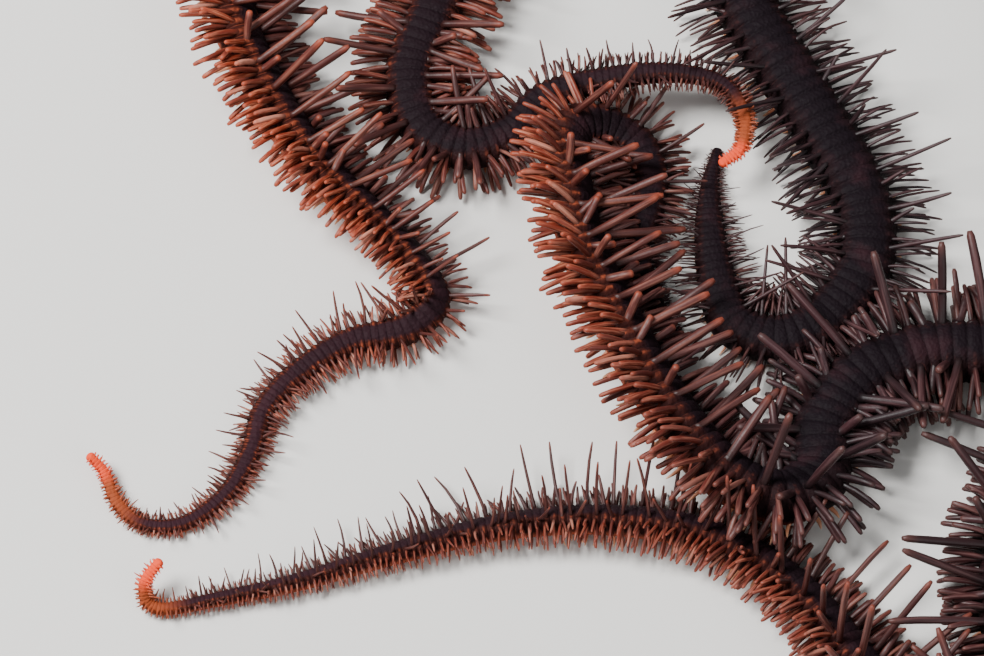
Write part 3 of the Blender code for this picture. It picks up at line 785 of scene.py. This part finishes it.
# A dull stretch's colours: partly their own, partly painted shade.
dull_and_shaded = limestone.mix(shade, (52, 28, 31), (31, 17, 21))
colour = limestone.mix(warmth_and_shade, dull_and_shaded, fresh)
pale = limestone.mix(comb, (136, 82, 65), (188, 112, 82))
pale = limestone.mix(warmth_and_shade, (74, 50, 52), pale)
colour = limestone.mix(limestone.between(0.45, 0.66, streak) * 0.75, colour, pale)
pink = (1 - limestone.between(0.06, 0.18, shade)) * warmth_and_shade * comb
colour = limestone.mix(pink * 0.5, colour, (208, 148, 128))
dark_colour = limestone.mix(warmth_and_shade, (28, 16, 19), (80, 32, 26))
colour = limestone.mix(limestone.between(0.5, 0.95, shade) * 0.7, colour, dark_colour)
# A peg is dark at its root and lighter at its end, and goes orange with the skin at a tip.
root_colour = limestone.mix(warmth_and_shade, (18, 10, 13), (56, 20, 14))
colour = limestone.mix(limestone.between(0.0, 0.35, out), root_colour, colour)
tip_colour = limestone.mix(warmth_and_shade, (66, 43, 41), (164, 72, 46))
colour = limestone.mix(limestone.between(0.8, 1.0, out) * 0.7, colour, tip_colour)
glow = limestone.mark("glow")
colour = limestone.mix(limestone.between(0.0, 0.5, glow), colour, (150, 70, 40))
colour = limestone.mix(limestone.between(0.6, 0.8, glow), colour, (220, 78, 44))
limestone.drive("Base Color", colour)
limestone.drive("Roughness", 0.34 + fine * 0.3)
limestone.raise_by(streak * 0.7 + fine * 0.3, 0.06)

for arm in arms:
    spines = joined(arm.name + "_spines",
                    [spine_row(arm, row, side) for row in SPINE_ROWS for side in (-1, 1)])
    spines.data.materials.append(limestone.material)
    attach(spines, "root")
    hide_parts(*[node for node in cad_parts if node.startswith(arm.name)])

# The tube feet: soft, pointed, pale brown feelers without suckers, one from a pore on each side
# of every segment's underside. All of them are one joined mesh, rooted in the skin.
FEET = dict(root=140, flat=122, over=168, under=96, stray=8, steps=(0, 1, 2))
# As shares of the arm's width, with the spread of each, and the bend as a share of the length.
FOOT_LENGTH = 0.3
LENGTH_SPREAD = (0.7, 1.3)
FOOT_THICKNESS = 0.075
THICKNESS_SPREAD = (0.4, 0.6)
FOOT_BEND = 0.12
FOOT_SIDES = 6
FOOT_RINGS = ((0.0, 1.2), (0.3, 1.0), (0.6, 0.85), (0.9, 0.5), (1.0, 0.2))


def foot_row(arm, side):
    """The tube feet down one side of an arm, lifted where they would meet the ground."""
    s, width, _, off_back, roots, ways = placed(arm, FEET, side)
    count = len(s)
    lengths = FOOT_LENGTH * width * draw.uniform(*LENGTH_SPREAD, count)
    radii = FOOT_THICKNESS * width * draw.uniform(*THICKNESS_SPREAD, count)
    ways = lifted(roots, ways, lengths, radii)
    bends = np.cross(ways, unit(draw.normal(size=(count, 3)))) * (lengths * FOOT_BEND)[:, None]
    points = pegs(roots, ways, lengths, radii, FOOT_SIDES, bends, FOOT_RINGS)
    points[..., 2] = np.maximum(points[..., 2], LOWEST)
    return peg_columns(points, draw.uniform(0, 1, count), wrapped(arm, s, side, off_back),
                       [out for out, _ in FOOT_RINGS])


feelers = Finish("tube_feet", {"Specular IOR Level": 0.4})
colour = feelers.mix(feelers.mark("shade"), (170, 96, 62), (206, 140, 104))
foot_end = feelers.between(0.6, 1.0, feelers.mark("out"))
colour = feelers.mix(foot_end * 0.6, colour, (232, 186, 150))
feelers.drive("Base Color", colour)
feelers.drive("Roughness", 0.35 + feelers.cloud(0.2) * 0.2)
tube_feet = joined("tube_feet", [foot_row(arm, side) for arm in arms for side in (-1, 1)])
tube_feet.data.materials.append(feelers.material)
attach(tube_feet, "root")
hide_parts(*[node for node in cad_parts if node.startswith("arm_")])

# The disc's granules: low grains of limestone standing close together in the skin of the disc's
# top and sides. All of them are one joined mesh of small domes.
GRANULES = 5400
GRANULE_SIZE = 0.19 * MM
SIZE_SPREAD = (0.75, 1.2)
GRANULE_HEIGHT = 0.9
GRANULE_SIDES = 6
GRANULE_RINGS = ((0.0, 1.0), (0.55, 0.85), (0.85, 0.5))
# Each lies this turn on from the one before, give or take a stray that is wider near the middle
# of the disc, and has its foot sunk this many mm in the skin.
TURN = math.pi * (3 - math.sqrt(5))
TURN_STRAY = 0.02
SUNK = 0.04
OUTLINE_STEPS = 600

# The disc's outline from its middle down to its lower rim, in short steps: share, height, and the
# skin that lies inside each step, for granules spread evenly over it.
outline = np.array([(0.0, 6.9)] + list(DISC_RISE[::-1]))
steps = np.linspace(0, len(outline) - 1, OUTLINE_STEPS)
shares, heights = (np.interp(steps, np.arange(len(outline)), outline[:, k]) for k in range(2))
heights = heights * MM
across, down = np.diff(shares) * DISC_RADIUS, np.diff(heights)
inside = np.cumsum(np.hypot(across, down) * shares[1:])
order = np.arange(GRANULES)
bearing = order * TURN
spread = np.sqrt((order + 0.5) / GRANULES)
bearing = bearing + draw.normal(0, TURN_STRAY, GRANULES) / np.maximum(spread, 0.1)
step = np.searchsorted(inside, inside[-1] * (order + 0.5) / GRANULES)
share = shares[1:][step]
radius = np.array([disc_reach(angle) for angle in bearing % math.tau])
level = np.stack((np.cos(bearing), np.sin(bearing), 0 * bearing), axis=-1)
ways = unit(level * -down[step][:, None] + across[step][:, None] * np.array((0, 0, 1.0)))
roots = level * (share * radius)[:, None]
roots[:, 2] = heights[1:][step]
roots = roots - ways * SUNK * MM
sizes = GRANULE_SIZE * draw.uniform(*SIZE_SPREAD, GRANULES)
domes = pegs(roots, ways, sizes * GRANULE_HEIGHT, sizes, GRANULE_SIDES, 0 * roots, GRANULE_RINGS)
places = np.stack((0.5 + 0.46 * spread * np.cos(bearing),
                   (STRIPS - 0.5) / STRIPS + 0.076 * spread * np.sin(bearing)), axis=-1)
granules = joined("granules", [peg_columns(domes, draw.uniform(0, 1, GRANULES), places,
                                           [out for out, _ in GRANULE_RINGS])])
grit = Finish("granules", {"Specular IOR Level": 0.3})
mottle = grit.cloud(3.5)
colour = grit.mix(grit.between(0.4, 0.7, mottle), (24, 14, 17), (58, 30, 27))
colour = grit.mix(grit.between(0.7, 1.0, grit.mark("shade")) * 0.6, colour, (92, 54, 44))
grit.drive("Base Color", colour)
grit.drive("Roughness", 0.5 + mottle * 0.3)
granules.data.materials.append(grit.material)
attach(granules, "root")
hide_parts("disc")

# The mouth: five jaws of bare, tan limestone under the disc, each with a rounded shield behind it
# and rows of small teeth along its sides. They are set round a star-shaped gap, on a low round
# plate of dark skin, and joined to it.
JAWS = 5
MOUTH_RADIUS = 8.1 * MM
MOUTH_CORNERS = 72
# A part's place and size in mm: how far out, how far to the left and how high its middle is, its
# length along the jaw, its width, its thickness, and in radians how far it is turned. A jaw has
# its shield, then three plates to its tip, with one on each side.
JAW_PARTS = (
    (5.9, 0, 0.55, 2.7, 3.2, 0.6, 0), (3.9, 0, 0.5, 2.6, 1.5, 0.7, 0),
    (2.4, 0, 0.44, 1.9, 0.9, 0.7, 0), (4.5, 1.45, 0.55, 0.9, 2.0, 0.5, 0.45),
    (4.5, -1.45, 0.55, 0.9, 2.0, 0.5, -0.45), (1.35, 0, 0.45, 0.8, 0.5, 0.55, 0))
# Teeth stand down each side of a jaw, each farther out and aside than the one before.
TEETH = 4
TOOTH_STEP = (0.62, 0.13)
# Two plates in line with each arm lie between the shields.
ARM_PLATES = (5.6, 6.9)


def plate(name, place, size, turn, rim, corners=20):
    """A low rounded plate: a short cylinder shaped in edit mode, with a bevelled rim."""
    bpy.ops.mesh.primitive_cylinder_add(
        vertices=corners, radius=0.5, depth=1.0, location=(0, 0, 0))
    made = bpy.context.object
    made.name = name
    bpy.ops.object.mode_set(mode="EDIT")
    bpy.ops.mesh.select_all(action="SELECT")
    bpy.ops.transform.resize(value=size, center_override=(0, 0, 0))
    bpy.ops.transform.rotate(value=-turn, orient_axis="Z", center_override=(0, 0, 0))
    bpy.ops.transform.translate(value=place)
    bpy.ops.object.mode_set(mode="OBJECT")
    bevel = made.modifiers.new("Rim", "BEVEL")
    bevel.width = rim
    bevel.segments = 2
    bevel.limit_method = "ANGLE"
    bpy.ops.object.modifier_apply(modifier="Rim")
    return made


def around_mouth(reach, across, height, turn):
    """A place at this reach along the bearing turn, and this far to its left."""
    return (reach * math.cos(turn) - across * math.sin(turn),
            reach * math.sin(turn) + across * math.cos(turn), height)


bpy.ops.object.select_all(action="DESELECT")
mouth_size = (MOUTH_RADIUS * 2, MOUTH_RADIUS * 2, 0.2 * MM)
mouth_parts = [plate("mouth_jaws", (0, 0, 0.86 * MM), mouth_size, 0, 0.04 * MM, MOUTH_CORNERS)]
for jaw in range(JAWS):
    turn = arms[0].bearing + (jaw + 0.5) * math.tau / JAWS
    parts = list(JAW_PARTS)
    for step in range(TEETH):
        for side in (-1, 1):
            parts.append((1.9 + step * TOOTH_STEP[0], side * (0.52 + step * TOOTH_STEP[1]),
                          0.42, 0.42, 0.36, 0.5, side * 0.3))
    for reach, across, height, long, wide, tall, skew in parts:
        mouth_parts.append(plate("jaw", around_mouth(reach * MM, across * MM, height * MM, turn),
                                 (long * MM, wide * MM, tall * MM), turn + skew, 0.1 * MM))
    arm_turn = turn + math.pi / JAWS
    for reach in ARM_PLATES:
        mouth_parts.append(plate("plate", around_mouth(reach * MM, 0, 0.6 * MM, arm_turn),
                                 (1.15 * MM, 1.5 * MM, 0.4 * MM), arm_turn, 0.08 * MM))
bpy.ops.object.select_all(action="DESELECT")
for part in mouth_parts:
    part.select_set(True)
mouth = mouth_parts[0]
bpy.context.view_layer.objects.active = mouth
bpy.ops.object.join()
mouth.data.shade_smooth()
# Grainy tan limestone, near-black higher up, between the parts.
bare = Finish("mouth", {"Specular IOR Level": 0.3})
grain = bare.cloud(0.6)
position = bare.node("ShaderNodeTexCoord", {}, {}, out=3)
height = bare.node("ShaderNodeSeparateXYZ", {}, {0: position}, out=2)
colour = bare.mix(grain, (142, 84, 58), (188, 128, 92))
colour = bare.mix(bare.between(0.6 * MM, 0.9 * MM, height), colour, (38, 19, 18))
bare.drive("Base Color", colour)
bare.drive("Roughness", 0.5 + grain * 0.25)
bare.raise_by(grain * 0.4 + bare.grains(0.3) * 0.6, 0.06)
mouth.data.materials.clear()
mouth.data.materials.append(bare.material)
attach(mouth, "root")
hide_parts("mouth")

# The floor, the lights and the camera: a pale tabletop, two large soft lamps and a pale room,
# seen as in the photograph from above the coiled ends of the arms.
bpy.ops.mesh.primitive_plane_add(size=3.0, location=(0, 0, 0))
floor = bpy.context.object
floor.name = "floor"
table = Finish("table", {"Base Color": paint(214, 212, 208), "Roughness": 0.75})
floor.data.materials.append(table.material)

# The camera and the lamps are turned to a point on the floor. A lamp has its place and width in
# metres, and its watts.
AIM = Vector((-0.047, -0.050, 0.0))
for name, place, size, watts in (("key", (-0.32, -0.02, 0.46), 0.24, 7.0),
                                 ("fill", (0.35, -0.45, 0.4), 0.5, 1.6)):
    turn = (Vector(place) - AIM).to_track_quat("Z", "Y").to_euler()
    bpy.ops.object.light_add(type="AREA", location=place, rotation=turn)
    lamp = bpy.context.object
    lamp.name = name
    lamp.data.size = size
    lamp.data.energy = watts
room = bpy.data.worlds.new("room")
room.use_nodes = True
room.node_tree.nodes["Background"].inputs["Color"].default_value = paint(225, 228, 232)
room.node_tree.nodes["Background"].inputs["Strength"].default_value = 0.34
bpy.context.scene.world = room

# The camera leans back from straight down, and its lens gives this width of view at the aim.
CAMERA_TILT = math.radians(28)
CAMERA_DISTANCE = 0.45
VIEW_WIDTH = 0.082
SENSOR_WIDTH = 36.0
bpy.ops.object.camera_add(
    location=(AIM.x, AIM.y - CAMERA_DISTANCE * math.sin(CAMERA_TILT),
              CAMERA_DISTANCE * math.cos(CAMERA_TILT)),
    rotation=(CAMERA_TILT, 0, 0))
camera = bpy.context.object
camera.name = "camera"
camera.data.sensor_width = SENSOR_WIDTH
camera.data.lens = SENSOR_WIDTH * CAMERA_DISTANCE / VIEW_WIDTH
bpy.context.scene.camera = camera
